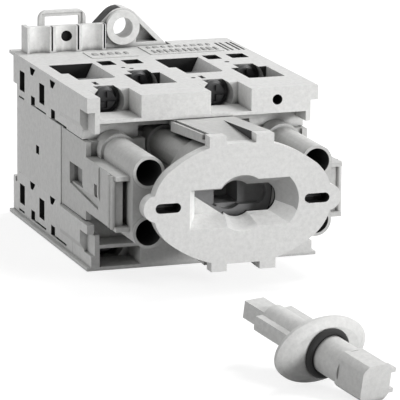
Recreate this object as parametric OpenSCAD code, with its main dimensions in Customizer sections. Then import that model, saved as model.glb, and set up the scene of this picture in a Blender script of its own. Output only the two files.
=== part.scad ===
// Four-column rotary changeover switch for a 35 mm rail, with a loose plug-in shaft lying in front of it.
// Frame: +X to the right, +Y to the rear, +Z up. The turning axis is the Y axis, and the rear mounting face is Y = 0.

/* [Body] */
// Width over the side walls
body_w = 79; // [77:0.5:84]
// Height over the top and bottom faces
body_h = 59; // [58:0.5:64]
// Height of the contact decks between the terminal blocks
deck_h = 27.2; // [27:0.1:28]
// Depth from the rear face to the front of the terminal blocks
body_d = 92; // [91:0.5:96]
// How far the top and bottom plates stand out at the sides
lip_out = 1.5; // [0.8:0.1:2.5]
// Thickness of the top and bottom plates
plate_t = 1.2; // [1:0.1:1.3]
// Distance between neighbouring columns
pole_pitch = 19.5; // [19:0.1:20]
// How far the second and fourth columns stand behind the others
stagger = 23; // [22:0.5:23.5]

/* [Rail side] */
// Height of the rail that the groove takes
rail_h = 35; // [35:0.1:35.5]
// Thickness of the base plate
base_t = 7; // [6.5:0.1:8]
// Depth of the rail groove
rail_groove_d = 4.5; // [4:0.1:4.8]
// Radius of the hole in the mounting ear
ear_hole_r = 3.65; // [2.5:0.05:4]
// Height of the ear hole above the turning axis
ear_hole_z = 36.8; // [36:0.1:40]
// Place of the ear across the width
ear_x = -1.2; // [-2:0.1:0]
// Width of the latch strap and its pull loop
latch_w = 17.5; // [14:0.5:18]
// Travel of the latch
latch_travel = 4; // [3:0.1:4]

/* [Terminals] */
// Radius of a clamp screw's head
head_r = 4.3; // [4.1:0.1:4.5]
// Radius of the round recess that a head lies in
recess_r = 5.6; // [5.3:0.1:5.8]
// How far a head lies behind the front of its recess
recess_d = 3.4; // [2.5:0.1:3.6]
// Radius of a clamp screw's shank
clamp_shank_r = 2.4; // [2:0.05:2.45]
// Thread pitch of the clamp screws
clamp_pitch = 0.8; // [0.5:0.05:0.8]
// Full turns between an open and a closed clamp
clamp_turns = 6; // [4:1:6]
// Distance from the clamp screws' axis to the outer face of their block
clamp_drop = 4.3; // [4.2:0.1:4.5]
// Width of a wire clamp cage
cage_w = 12.6; // [12:0.1:12.8]
// Sheet thickness of a cage
cage_t = 1.5; // [1.2:0.1:1.6]

/* [Contacts] */
// Pitch radius of the pinions
pinion_r = 5; // [5:0.1:5.2]
// Teeth on a pinion
pinion_teeth = 12; // [12:1:14]
// Turn of the drive from off to either side, in degrees
half_turn = 60; // [55:1:60]
// Thickness of the copper strips
strip_t = 1.5; // [1.2:0.1:1.6]
// Radius of the drive shaft
shaft_r = 3; // [2.5:0.1:3]

/* [Mechanism] */
// Outer radius of the forward tubes
tube_r = 5.4; // [5.2:0.1:5.8]
// Bore radius of the forward tubes
tube_bore_r = 4.4; // [4:0.1:4.5]
// Height of the tubes above and below the axis
tube_z = 10; // [9.9:0.1:10.4]
// How far the outer tubes reach out in front of the terminal blocks
tube_reach = 29.6; // [27:0.2:31]
// Radius of the bell round the hub disc
bell_r = 19.5; // [18:0.1:19.8]
// Radius of the hub disc
hub_disc_r = 15; // [13:0.1:15.2]
// Radial clearance of turning parts
run_gap = 0.06; // [0.03:0.01:0.1]

/* [Front plate] */
// Thickness of the front plate
front_t = 4.5; // [3.5:0.1:5]
// Half of the oval's height
oval_half_h = 20.8; // [20.6:0.1:22]
// Half of the oval's width
oval_half_w = 31; // [29:0.1:32]
// Radius of the oval's end arcs
oval_end_r = 15.5; // [14:0.1:17]
// Radius of the ears' tips
ear_tip_r = 4.4; // [4:0.1:5]
// Distance between the slots in the ears
ear_slot_pitch = 51.6; // [50:0.1:53]
// Length of an ear slot
ear_slot_l = 8.7; // [7:0.1:9.5]
// Width of an ear slot
ear_slot_w = 3.2; // [2.8:0.1:4]
// Depth of the keyhole's funnel
funnel_d = 7.5; // [6:0.1:8]

/* [Plug-in shaft] */
// Radius of the shaft's round front part
plug_r = 6; // [5:0.1:6.4]
// Length of the front part
plug_front_l = 26.5; // [24:0.5:38]
// Length of the keyed part behind the flange
plug_key_l = 22.5; // [16:0.5:28]
// Length of the square stub at its end
plug_stub_l = 10; // [6:0.5:12]
// Half of the flange's width
flange_half_w = 17; // [13:0.1:18]
// Half of the flange's height
flange_half_h = 10.4; // [9:0.1:11.5]
// Radius of the seal ring's cord
o_ring_r = 1; // [0.8:0.05:1.1]
// Place of the flange on the surface, across
plug_x = -15; // [-30:1:80]
// Place of the flange on the surface, along
plug_y = -239; // [-320:1:-220]
// Turn of the loose shaft on the surface, in degrees
plug_yaw = 18; // [0:0.5:30]

/* [Hidden] */
$fn = 48;
EPS = 0.1;
half_w = body_w / 2;
lip_x = half_w + lip_out;
top_z = body_h / 2;
plate_z = top_z - plate_t;
seam_z = deck_h / 2;
col_x = [for (i = [0:3]) (i - 1.5) * pole_pitch];
odd = [0, 2];
even = [1, 3];
// Depths, counted from the rear face
base_boss = base_t + 2;
deck_seam = body_d - 47.4;
inner_front = body_d - 21;
outer_front = body_d - 10;
front_y = -body_d;
tube_front = body_d + tube_reach;
cheek_t = 1.8;
cheek_start = deck_seam + 15.4;
deck_wall = 1.6;
chamber_z = seam_z - 2;
rear_chamber = [-(deck_seam - deck_wall), -(base_boss + 2)];
front_chamber = [-(inner_front - 2), -(deck_seam + deck_wall)];
column_edge = pole_pitch + 0.5;
// Terminals: everything is placed from the front face of a screw's head
clamp_z = top_z - clamp_drop;
low_clamp_z = min(clamp_z, plate_z - head_r - 0.2);
notch_back = -(body_d - 13.5);
head_front = notch_back + recess_d;
head_t = 2.6;
seat_wall = [head_t + 0.2, head_t + 1.4];
cage_travel = clamp_pitch * clamp_turns;
cage_open = seat_wall[1] + cage_travel + 0.5;
cage_l = 14.6;
tip_off = cage_open + 3.5;
cage_z = [seam_z + 5, clamp_z + 2.9];
pocket_floor = clamp_z - 3.3;
// Contacts
contact_off = tip_off + strip_t / 2;
travel = pinion_r * half_turn * PI / 180;
holder_x = [-1, 2];
bridge_t = 1.2;
rivet_h = 0.6;
rivet_r = 1.5;
rivet_z = 5.9;
leg_low = 4.2;
leg_x = holder_x[1] + bridge_t + 2 * rivet_h + travel + 0.1;
leg_w = 5;
rack_off = [5, 9];
carriage_half_z = 7.7;
module_m = 2 * pinion_r / pinion_teeth;
add_h = 0.85 * module_m;
ded_h = 1.1 * module_m;
// Mechanism and front plate
collar_r = tube_r + 1;
inner_tube_front = tube_front - 13.6;
bell = [-(tube_front - 0.1), -inner_tube_front];
roof_z = [tube_z + collar_r + 0.4, tube_z + collar_r + 4.1];
tab_z = 22.8;
top_tabs = [[-11.8, -6], [4.3, 10.5]];
bottom_tabs = [[-10.8, -5.5], [6, 11.5]];
plate_back = -(tube_front + 5.1);
plate_front = plate_back - front_t;
plate_edge_z = 20;
wing_x = 8.6;
hub_disc = [-(tube_front - 4.6), -(tube_front - 10.4)];
hub_neck_r = 4.5;
star = [-(tube_front - 21.6), -(tube_front - 26.6)];
journal_r = 7.5;
star_r = journal_r - 0.2;
nose_r = 1.5;
nose_x = star_r + 0.6;
drum_r = 12;
tie_r = 2;
// Loose shaft: it rests on the flange's rim and the foot of its squared end
plug_foot = 5.8;
plug_pitch = atan((flange_half_h - plug_foot) / (plug_front_l - 0.7));
flange_rim = 0.7;
plug_z = -top_z + flange_half_h * cos(plug_pitch) + flange_rim * sin(plug_pitch);
// Finishes
SHELL = [0.86, 0.86, 0.84];
SHELL_MID = [0.74, 0.74, 0.73];
PLATE = [0.9, 0.9, 0.88];
STEEL = [0.4, 0.4, 0.42];
COPPER = [0.75, 0.5, 0.32];
DARK = [0.2, 0.2, 0.22];
BLACK = [0.08, 0.08, 0.08];

// Box between two limits on each axis
module slab(x, y, z) {
    translate([x[0], y[0], z[0]]) cube([x[1] - x[0], y[1] - y[0], z[1] - z[0]]);
}

// Cylinder along the depth
module rod_y(r, y, x = 0, z = 0) {
    translate([x, y[0], z]) rotate([-90, 0, 0]) cylinder(r = r, h = y[1] - y[0]);
}

// Cylinder across the width
module rod_x(r, x, y = 0, z = 0) {
    translate([x[0], y, z]) rotate([0, 90, 0]) cylinder(r = r, h = x[1] - x[0]);
}

// Outline in X and Z, run along the depth
module run_y(y) {
    translate([0, y[1], 0]) rotate([90, 0, 0]) linear_extrude(y[1] - y[0]) children();
}

// Outline in Y and Z, run across the width
module run_x(x) {
    translate([x[0], 0, 0]) rotate([90, 0, 90]) linear_extrude(x[1] - x[0]) children();
}

module both_sides() {
    children();
    mirror([1, 0, 0]) children();
}

module above_and_below() {
    children();
    mirror([0, 0, 1]) children();
}

// Front face of the screw head in a column
function head_y(i) = head_front + (i % 2) * stagger;
// Direction in which a column's contact closes
function close_dir(i) = i % 2 == 0 ? 1 : -1;
function contact_y(i) = head_y(i) + contact_off;
function span(a, b) = [min(a, b), max(a, b)];

// Oval of four arcs, given its half axes and the radius of its ends; the end circles are a hair larger than the
// tangent ones, so that the arcs cross cleanly
module four_arcs(half_w, half_h, end_r) {
    c = half_w - end_r;
    flank_r = (c * c + half_h * half_h - end_r * end_r) / (2 * (half_h - end_r));
    reach = c + end_r * c / (flank_r - end_r);
    hair = 0.06;
    intersection() {
        translate([0, half_h - flank_r]) circle(r = flank_r, $fn = 160);
        translate([0, flank_r - half_h]) circle(r = flank_r, $fn = 160);
        translate([-reach, -2 * half_h]) square([2 * reach, 4 * half_h]);
    }
    for (s = [-1, 1]) translate([s * (c - hair), 0]) circle(r = end_r + hair, $fn = 96);
}

// Round wire wound to a spring along Z from z = 0
module coil(r, wire, h, turns) {
    sides = 6;
    steps = 10;
    n = turns * steps;
    pts = [for (i = [0:n], j = [0:sides - 1])
        let (a = i * 360 / steps, b = j * 360 / sides, rr = r + wire * cos(b))
        [rr * cos(a), rr * sin(a), wire + (h - 2 * wire) * i / n + wire * sin(b)]];
    walls = [for (i = [0:n - 1], j = [0:sides - 1])
        let (k = (j + 1) % sides, p = i * sides)
        [p + j, p + k, p + sides + k, p + sides + j]];
    first = [for (j = [0:sides - 1]) sides - 1 - j];
    last = [for (j = [0:sides - 1]) n * sides + j];
    polyhedron(points = pts, faces = concat(walls, [first, last]), convexity = 6);
}

module ear_outline() {
    c = ear_r / sqrt(2);
    translate([ear_x, ear_hole_z]) circle(r = ear_r);
    translate([ear_x, 0])
        polygon([[-ear_foot, plate_z], [ear_foot, plate_z], [c, ear_hole_z + c], [-c, ear_hole_z + c]]);
}

module ear_pocket() {
    c = 7 / sqrt(2);
    floor_z = top_z + 1.5;
    reach = ear_hole_z + 2 * c - 1.6 * sqrt(2) - floor_z;
    translate([ear_x + 5.5, floor_z]) polygon([[0, 0], [reach - 5.5, 0], [0, reach - 5.5]]);
}

latch_x = [-30.7, -30.7 + latch_w];
latch_y = [-2.3, -0.3];
latch_foot = [rail_h / 2 + 0.7, rail_h / 2 + 2.2];
latch_spring_z = [latch_foot[1] + 0.1, plate_z - 1.4];
ear_boss_r = 6.2;
ear_front = -8.5;
ear_r = 7;
ear_foot = ear_hole_z + 2 * ear_r / sqrt(2) - (top_z - plate_t);

module base_plate() {
    rail_z = rail_h / 2 + 0.3;
    spring_x = (latch_x[0] + latch_x[1]) / 2 - 1;
    color(SHELL) difference() {
        union() {
            slab([-half_w, half_w], [-base_t, 0], [-plate_z + 0.1, plate_z - 0.1]);
            slab([-half_w, half_w], [-base_boss, -base_t], [-seam_z + 0.1, seam_z - 0.1]);
            run_y([-6.5, 0]) ear_outline();
            rod_y(ear_boss_r, [ear_front, -6], ear_x, ear_hole_z);
        }
        slab([-half_w - 1, half_w + 1], [-rail_groove_d, -2.5], [-rail_z, rail_z]);
        slab([-half_w - 1, half_w + 1], [-2.5 - EPS, 1], [-rail_z + 1.8, rail_z]);
        slab([latch_x[0] - 0.3, latch_x[1] + 0.3], [latch_y[0] - 0.3, 1], [rail_z - 2, 60]);
        slab([spring_x - 2.6, spring_x + 2.6], [-6, -2], [rail_z, latch_spring_z[1] + 0.1]);
        rod_y(ear_hole_r, [ear_front - 1, 1], ear_x, ear_hole_z);
        run_y([-7, -2]) {
            ear_pocket();
            translate([2 * ear_x, 0]) mirror([1, 0]) ear_pocket();
        }
        for (x = [col_x[1], col_x[2]], z = [-tube_z, tube_z]) rod_y(tie_r + 0.1, [-base_boss - 1, 0], x, z);
        rod_y(5.05, [-base_boss - 1, -base_t], 0, 0);
    }
}

module rail_latch() {
    spring_x = (latch_x[0] + latch_x[1]) / 2 - 1;
    nose_z = rail_h / 2 - 1.6;
    loop_top = 43.2;
    color(SHELL) difference() {
        union() {
            run_y(latch_y) difference() {
                translate([latch_x[0], nose_z]) square([latch_w, loop_top - nose_z]);
                translate([latch_x[1] - 3, loop_top - 3]) loop_corner();
                translate([latch_x[0] + 3, loop_top - 3]) mirror([1, 0]) loop_corner();
            }
            slab([spring_x - 2.2, spring_x + 2.2], [-5.6, latch_y[0] + EPS], latch_foot);
        }
        run_y([latch_y[0] - 1, latch_y[0] + 0.6])
            translate([latch_x[0] + 1.3, 33]) square([latch_w - 2.6, 9.1]);
        run_y([latch_y[0] - 1, latch_y[1] + 1])
            translate([latch_x[0] + 2.4, 34]) square([latch_w - 4.8, 7]);
        run_x([latch_x[0] - 1, latch_x[1] + 1]) polygon([[0, nose_z - 1], [0, nose_z + 1.4], [-1.9, nose_z - 1]]);
    }
}

// What a rounded corner leaves of a square one
module loop_corner() {
    difference() {
        square(4);
        circle(r = 3);
    }
}

module rail_latch_spring() {
    spring_x = (latch_x[0] + latch_x[1]) / 2 - 1;
    color(STEEL) translate([spring_x, -4.2, latch_spring_z[0]])
        coil(1.3, 0.3, latch_spring_z[1] - latch_spring_z[0], 5);
}

module latch_guide_block() {
    x0 = 1.2 - half_w + 1;
    bay = (ear_x - ear_r - x0) / 3;
    z1 = top_z + 9.3;
    color(SHELL) difference() {
        union() {
            slab([x0, x0 + 3 * bay], [-10.4, -6.7], [top_z, z1]);
            slab([x0, x0 + 1.6], [-6.7 - EPS, -2.8], [top_z, z1]);
        }
        for (i = [0:2]) {
            translate([x0 + (i + 0.5) * bay - 0.3, -12.6, top_z - 1]) cylinder(r = 0.454 * bay, h = 12);
            slab([x0 + (i + 1) * bay - 0.9, x0 + (i + 1) * bay - 0.3], [-11, -8.2], [top_z + 0.6, z1 + 1]);
        }
        rod_y(1.9, [-11, -7.2], x0 + 1.5 * bay + 0.4, top_z + 5.4);
    }
}

// Back wall of the notch or pocket in front of a column's screw
function pocket_back(i) = notch_back + (i % 2) * stagger;

// Recess, screw seat, cage chamber and contact passages of one upper terminal, with the recess up to a height and
// the screw at a height
module terminal_space(i, recess_top, screw_z) {
    x = col_x[i];
    y = head_y(i);
    s = close_dir(i);
    intersection() {
        rod_y(recess_r, [pocket_back(i) - 1, y + seat_wall[0]], x, screw_z);
        slab([x - recess_r, x + recess_r], [pocket_back(i) - 2, y + head_t + 1], [0, recess_top]);
    }
    rod_y(clamp_shank_r + 0.1, [y, y + seat_wall[1] + 1], x, screw_z);
    slab([x - cage_w / 2 - 0.3, x + cage_w / 2 + 0.3], [y + seat_wall[1], y + cage_open + cage_l + 1],
        [cage_z[0] - 0.3, plate_z]);
    slab([x - 4.4, x + 4.4], [y + tip_off - 0.2, y + tip_off + strip_t + 0.2], [seam_z - EPS, cage_z[0]]);
    slab(span(x - s * 4.4, x + s * (leg_x + strip_t + 0.3)), [contact_y(i) - 2.8, contact_y(i) + 2.8],
        [seam_z - EPS, seam_z + 2.6]);
}

module front_notch(x) {
    slab([x - 7.25, x + 7.25], [front_y - 1, notch_back], [pocket_floor, top_z + 1]);
}

module rear_pocket(x, y) {
    slab([x - 6.5, x + 6.5], [y - 18.5, y], [pocket_floor, top_z + 1]);
}

module wire_entry(x) {
    y1 = notch_back + 18.5;
    translate([x, 0, cage_z[0]]) linear_extrude(20)
        polygon([[-7.25, y1 + 27], [6.25, y1 + 27], [6.25, y1], [-4.8, y1], [-4.8, y1 + 11.4], [-7.25, y1 + 11.4]]);
    slab([x - 6.6, x + 6.2], [y1 + 11, y1 + 26.5], [cage_z[0] - 2, cage_z[0] + 1]);
    run_y([y1 + 1, y1 + 27]) polygon([[x + 6, top_z - 6], [x + 6, top_z + 1], [x + 9.3, top_z + 1]]);
    translate([x + 6.6, y1 + 2, plate_z - 1.5]) cylinder(r = 2.2, h = 4);
}

module wire_slots(x, y) {
    for (span_x = [[-8.6, -3.4], [0.4, 6.6]])
        slab([x + span_x[0], x + span_x[1]], [y + 17.5, y + 25], [cage_z[0], top_z + 1]);
}

// Slots, triangles and hook gaps in one side wall, for the block whose lower seam lies at z
module side_pattern(z) {
    for (k = [0:1]) {
        y = -11 - k * 24;
        slab([half_w - 2.6, half_w + 1], [y - 3, y + 3], [z + 2.9, z + 9.9]);
        run_x([half_w - 2, half_w + 1])
            polygon([[y - 16, z + 13.4], [y - 9.5, z + 13.4], [y - 10.5, z + 10.8], [y - 13, z + 10.8]]);
        slab([half_w - 2.4, half_w + 1], [y - 15.6, y - 11], [z - 0.1, z + 3.4]);
        slab([half_w - 1.2, half_w + 1], [y - 29, y - 15.5], [z - 0.1, z + 0.6]);
    }
    slab([half_w - 1.2, half_w + 1], [-13.6, -1.6], [z - 0.1, z + 0.6]);
}

// Raised panel at the front of a side wall, with sloped rear and lower edges
module side_panel(z, z1) {
    intersection() {
        run_y([front_y, front_y + 36]) polygon([[half_w - 1, z + 3.4], [half_w, z + 3.4], [lip_x, z + 5.9],
            [lip_x, z1], [half_w - 1, z1]]);
        translate([0, front_y, z]) linear_extrude(z1 - z)
            polygon([[half_w - 1, 35], [half_w, 35], [lip_x, 30.5], [lip_x, 0], [half_w - 1, 0]]);
    }
}

module block_body() {
    slab([-half_w, half_w], [-inner_front, -base_t], [seam_z, top_z]);
    slab([-half_w, half_w], [-outer_front, -inner_front - EPS], [roof_z[0] + 0.4, top_z]);
    both_sides() {
        slab([column_edge, half_w], [-outer_front, -inner_front + EPS], [seam_z, roof_z[0] + 1]);
        slab([half_w - 2.9, half_w], [front_y, -outer_front + EPS], [roof_z[0] + 0.5, roof_z[1] + 0.5]);
    }
    slab([-half_w, half_w], [front_y, -outer_front + EPS], [roof_z[1] + 0.2, top_z]);
    slab([-lip_x, lip_x], [front_y, 0], [plate_z, top_z]);
}

module block_openings(recess_top, screw_z) {
    for (i = [0:3]) terminal_space(i, recess_top, screw_z);
    for (i = odd) {
        front_notch(col_x[i]);
        wire_entry(col_x[i]);
    }
    for (i = even) {
        rear_pocket(col_x[i], pocket_back(i));
        wire_slots(col_x[i], pocket_back(i));
    }
    both_sides() slab([half_w - 1.2, lip_x + 1], [front_y - 1, front_y + 8], [roof_z[0], clamp_z - 0.7]);
}

module top_terminal_block() {
    color(SHELL) difference() {
        union() {
            block_body();
            both_sides() side_panel(seam_z, plate_z + EPS);
            slab([4, 31.5], [-24.5, -9.5], [top_z - EPS, top_z + 0.35]);
            slab([-18, -1], [-25.5, -14], [top_z - EPS, top_z + 0.3]);
        }
        block_openings(top_z + 1, clamp_z);
        both_sides() side_pattern(seam_z);
        slab([ear_x - ear_foot - 0.3, ear_x + ear_foot + 0.3], [-6.8, 1], [plate_z - 0.2, top_z + 1]);
        slab([latch_x[0] - 0.3, latch_x[1] + 0.3], [latch_y[0] - 0.4, 1], [plate_z - 0.2, top_z + 1]);
        rod_y(1.75, [front_y - 1, front_y + 8], 26.3, clamp_z + 0.1);
        for (x = [32.9, 34.6, 37.1, 38.8]) slab([x, x + 0.9], [-24, -8.5], [top_z - 0.8, top_z + 1]);
        for (x = [-31.2, 7]) slab([x, x + 1.6], [front_y + 22, front_y + 27], [top_z - 1, top_z + 1]);
        translate([25.4, -44, top_z - 1]) cylinder(r = 0.9, h = 2);
        for (p = [[-12.6, -43.5], [-10.4, -46], [4.6, -68]])
            translate([p[0], p[1], top_z - 0.6]) cylinder(r = 0.8, h = 2);
    }
}

module bottom_terminal_block() {
    pattern_z = -body_h + (top_z - seam_z) + seam_z + 2.1;
    color(SHELL) difference() {
        union() {
            mirror([0, 0, 1]) block_body();
            both_sides() side_panel(pattern_z, -seam_z - 0.1);
        }
        mirror([0, 0, 1]) block_openings(plate_z, low_clamp_z);
        both_sides() side_pattern(pattern_z);
    }
    color(SHELL) for (i = odd)
        slab([col_x[i] - 7.25 - EPS, col_x[i] + 7.25 + EPS], [front_y, notch_back + EPS], [-top_z, -plate_z]);
}

module leg_slots(i) {
    x = col_x[i] + close_dir(i) * leg_x;
    above_and_below()
        slab(span(x - close_dir(i) * 0.3, x + close_dir(i) * (strip_t + 0.3)),
            [contact_y(i) - 2.8, contact_y(i) + 2.8], [chamber_z - 1, seam_z + 1]);
}

module tie_holes(y) {
    for (x = [col_x[1], col_x[2]], z = [-tube_z, tube_z]) rod_y(tie_r + 0.1, y, x, z);
}

module rear_deck_housing() {
    color(SHELL_MID) difference() {
        slab([-half_w, half_w], [-deck_seam, -base_boss], [-seam_z, seam_z]);
        slab([-half_w + 2.2, half_w - 2.2], rear_chamber, [-chamber_z, chamber_z]);
        for (i = even) leg_slots(i);
        tie_holes([-deck_seam - 1, 0]);
        rod_y(shaft_r + 0.4, [-deck_seam - 1, -deck_seam + 3]);
        rod_y(5.05, [-base_boss - 3, 0]);
        both_sides() slab([half_w - 1.6, half_w + 1], [13 - deck_seam, 16.6 - deck_seam], [-2.3, 0.6]);
    }
}

// Window in the cheek that snaps over a lug on the front deck
window_y = [front_y + 9.4, front_y + 24.4];
window_z = [-3.6, 3.2];

module snap_lug() {
    slab([half_w - cheek_t - 1, half_w - 0.9], [window_y[0] + 0.5, window_y[0] + 3.5], [window_z[0] + 0.8, window_z[1] - 0.6]);
}

module front_deck_housing() {
    cheek_x = half_w - cheek_t - 0.1;
    color(SHELL_MID) difference() {
        union() {
            slab([-half_w, half_w], [-cheek_start + 0.1, -deck_seam], [-seam_z, seam_z]);
            slab([-cheek_x, cheek_x], [-inner_front, -cheek_start], [-seam_z, seam_z]);
            both_sides() {
                slab([column_edge + 0.2, cheek_x], [-outer_front, -inner_front + EPS], [-seam_z, seam_z]);
                slab([half_w - 1, half_w + 0.4], [-deck_seam - 14, -deck_seam], [-seam_z, seam_z]);
                snap_lug();
            }
        }
        both_sides() slab([cheek_x - 1, cheek_x + 1], [window_y[0] + 4, window_y[1]], window_z);
        slab([-cheek_x + 1.8, cheek_x - 1.8], front_chamber, [-chamber_z, chamber_z]);
        for (i = odd) leg_slots(i);
        tie_holes([-inner_front - 1, -deck_seam + 1]);
        rod_y(shaft_r + 0.4, [-deck_seam - 3, -deck_seam + 1]);
        rod_y(5.05, [-inner_front - 1, -inner_front + 3]);
        for (x = [col_x[0], col_x[3]], z = [-tube_z, tube_z])
            rod_y(tie_r + 0.05, [-outer_front - 1, -inner_front - 1], x, z);
    }
}

module tubes(r, inner, outer) {
    for (z = [-tube_z, tube_z]) {
        for (x = [col_x[1], col_x[2]]) rod_y(r, inner, x, z);
        for (x = [col_x[0], col_x[3]]) rod_y(r, outer, x, z);
    }
}

module cheek() {
    x = [half_w - cheek_t, half_w];
    front = 6 - tube_front;
    groove = [front_y - 7.4, front_y + 24];
    difference() {
        union() {
            slab(x, [front_y + 6, -cheek_start], [-seam_z + 0.3, seam_z - 0.3]);
            slab(x, [front, front_y + 6 + EPS], [-10, 8.4]);
            run_y([front_y - 9, front_y + 8.5]) polygon([[half_w - 1, -3.6], [half_w, -3.6], [half_w + 0.4, -1.8],
                [half_w + 0.4, 7.6], [half_w, 8.4], [half_w - 1, 8.4]]);
            slab([half_w - 3.2, half_w], [front, front + 3.2], [-10, 8.4]);
            for (z = [[7, 8.4], [-10, -8.6]])
                slab([col_x[3] + 4, half_w], [3 - tube_front, -outer_front - 1], z);
            for (y = [front, front + 3]) rod_z(0.9, [half_w + 0.1, y], [-9.5, 8.2]);
        }
        slab([x[0] - 1, x[1] + 1], window_y, window_z);
        slab([x[0] - 1, x[1] + 3], [groove[0], groove[0] + 3.2], [-2.7, 1.6]);
        run_x([half_w - 0.8, half_w + 1])
            polygon([[groove[0], -2.7 - EPS], [groove[0], -6.8], [groove[1], window_z[0] - 0.6], [groove[1], window_z[0] + EPS],
                [window_y[0], window_z[0] + EPS]]);
    }
}

// Cylinder along Z at a point of the plan
module rod_z(r, p, z) {
    translate([p[0], p[1], z[0]]) cylinder(r = r, h = z[1] - z[0]);
}

module mechanism_housing() {
    flange_x = half_w - cheek_t + EPS;
    color(SHELL) difference() {
        union() {
            slab([-column_edge, column_edge], [-inner_front - 3, -inner_front], [-seam_z + 0.2, seam_z - 0.2]);
            both_sides() {
                slab([column_edge - 1.6, column_edge], [-outer_front - 3, -inner_front], [-seam_z + 0.2, seam_z - 0.2]);
                slab([column_edge - 1.6, flange_x], [-outer_front - 3, -outer_front], [-seam_z + 0.2, seam_z - 0.2]);
                cheek();
                slab([col_x[3] - tube_r + 0.3, col_x[3] + tube_r], [0.5 - tube_front, -outer_front], [-tube_z, tube_z]);
                slab([bell_r - 3, col_x[3]], [5.6 - tube_front, -inner_tube_front], [-4, 4]);
            }
            tubes(tube_r, [-inner_tube_front, -inner_front], [-tube_front, -outer_front]);
            tubes(collar_r, [-inner_front - 9, -inner_front], [-outer_front - 8, -outer_front]);
            rod_y(drum_r, [-inner_tube_front, -inner_front]);
            rod_y(bell_r, bell);
            roof(top_tabs, tab_z);
            mirror([0, 0, 1]) roof(bottom_tabs, tab_z - 0.3);
            above_and_below() slab([-3.5, 3.5], [-inner_tube_front - 5, -outer_front - 0.3], [8, roof_z[0] + 1]);
        }
        tubes(tube_bore_r, [-inner_tube_front - 1, -inner_front - 6], [-tube_front - 1, -outer_front - 6]);
        tubes(tie_r + 0.1, [-inner_front - 7, 0], [-outer_front - 7, 0]);
        rod_y(journal_r + run_gap, [-inner_tube_front - 4, -inner_front - 6]);
        rod_y(5.05, [-inner_front - 7, 0]);
        rod_y(hub_disc_r + 0.3, [bell[0] - 1, hub_disc[1] + 0.3]);
        both_sides() slab([6, drum_r + 1], [star[0] - 0.5, star[1] + 0.5], [-4, 4]);
    }
}

// Roof over the tubes: it rises from the terminal block to the front plate's tabs, with a pocket between them and a
// ledge along its left edge
module roof(tabs, high) {
    x = [tabs[0][0], tabs[1][1]];
    y = [plate_back + 0.2, front_y - 0.2];
    low = roof_z[1];
    rise = (high - low) / (y[1] - y[0]);
    pocket_end = y[0] + 27;
    slab([-9, x[1]], [front_y - 0.3, -outer_front - 0.3], roof_z);
    difference() {
        run_x(x) polygon([[y[1], roof_z[0]], [y[1], low], [y[0], high], [y[0], bell_r + 0.1]]);
        run_x([tabs[0][1], tabs[1][0]]) polygon([[y[0] - 1, plate_edge_z - 0.2], [y[0] - 1, high + 1],
            [pocket_end, high + 1], [pocket_end, high - 27 * rise]]);
        run_x([x[0] + 1, x[0] + 1.6]) polygon([[y[0], high - 1.6], [y[0], high + 1], [y[1] - 1, high + 1],
            [y[1] - 1, low - 1.6]]);
        run_x([x[0] - 1, x[0] + 1.05]) polygon([[y[0], high - 0.5], [y[0], high + 1], [y[1] + 1, high + 1],
            [y[1] + 1, low - 0.5]]);
        slab([x[0] - 1, x[0] + 1.6], [y[0] - 1, y[0] + 2.6], [bell_r + 1, high + 1]);
    }
}

// Oval with two eared tips
module front_outline() {
    intersection() {
        four_arcs(oval_half_w, oval_half_h, oval_end_r);
        translate([-50, -plate_edge_z]) square([100, 2 * plate_edge_z]);
    }
    for (s = [-1, 1]) translate([s * (oval_half_w - 1.2), 0]) circle(r = ear_tip_r);
    for (x = top_tabs) translate([x[0], 0]) square([x[1] - x[0], tab_z]);
    for (x = bottom_tabs) translate([x[0], 0.3 - tab_z]) square([x[1] - x[0], tab_z - 0.3]);
}

// Round hole with two wings, the right one rounded and the left one pointed, smaller by shrink on every side
module keyhole(shrink) {
    circle(r = 6 - shrink);
    intersection() {
        translate([0, -4.6 + shrink]) square([20, 9.2 - 2 * shrink]);
        translate([wing_x, 0]) circle(r = 5.3 - shrink);
    }
    translate([0, -4.6 + shrink]) square([wing_x + 1, 9.2 - 2 * shrink]);
    polygon([[1.5 * shrink - 14.3, 3.4 - shrink], [1.5 * shrink - 14.3, 1.6 + 0.2 * shrink], [-4.6, 1.2 * shrink - 5],
        [0, 0], [0, 3.4 - shrink]]);
}

// Wall that slopes from the front value to the back value over the funnel's depth, carried on a little in front
function ramp(front, back) = [[plate_front - 1, front + (front - back) / funnel_d], [plate_front + funnel_d, back]];

// Four-sided funnel between a lower and an upper sloping wall
module funnel_slot(x, low, high) {
    intersection() {
        run_x([-24, 24]) polygon([[low[0][0], low[0][1]], [high[0][0], high[0][1]],
            [high[1][0], high[1][1]], [low[1][0], low[1][1]]]);
        translate([0, 0, -12]) linear_extrude(24)
            polygon([[0, x[0][0]], [x[0][1], x[0][0]], [x[1][1], x[1][0]], [0, x[1][0]]]);
    }
}

module keyhole_funnel() {
    low = ramp(-7.8, -4.5);
    intersection() {
        funnel_slot(ramp(23, 23), low, ramp(7.8, 4.5));
        funnel_cone(10.8, 5.2, wing_x);
    }
    funnel_slot(ramp(wing_x + 1, wing_x + 1), low, ramp(7.8, 4.5));
    funnel_slot(ramp(-18.4, -14.2), low, ramp(5.4, 3.3));
    funnel_cone(9.4, 5.9, 0);
}

module funnel_cone(front, back, x) {
    r = ramp(front, back);
    translate([x, r[0][0], 0]) rotate([-90, 0, 0]) cylinder(r1 = r[0][1], r2 = back, h = funnel_d + 1);
}

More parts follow.
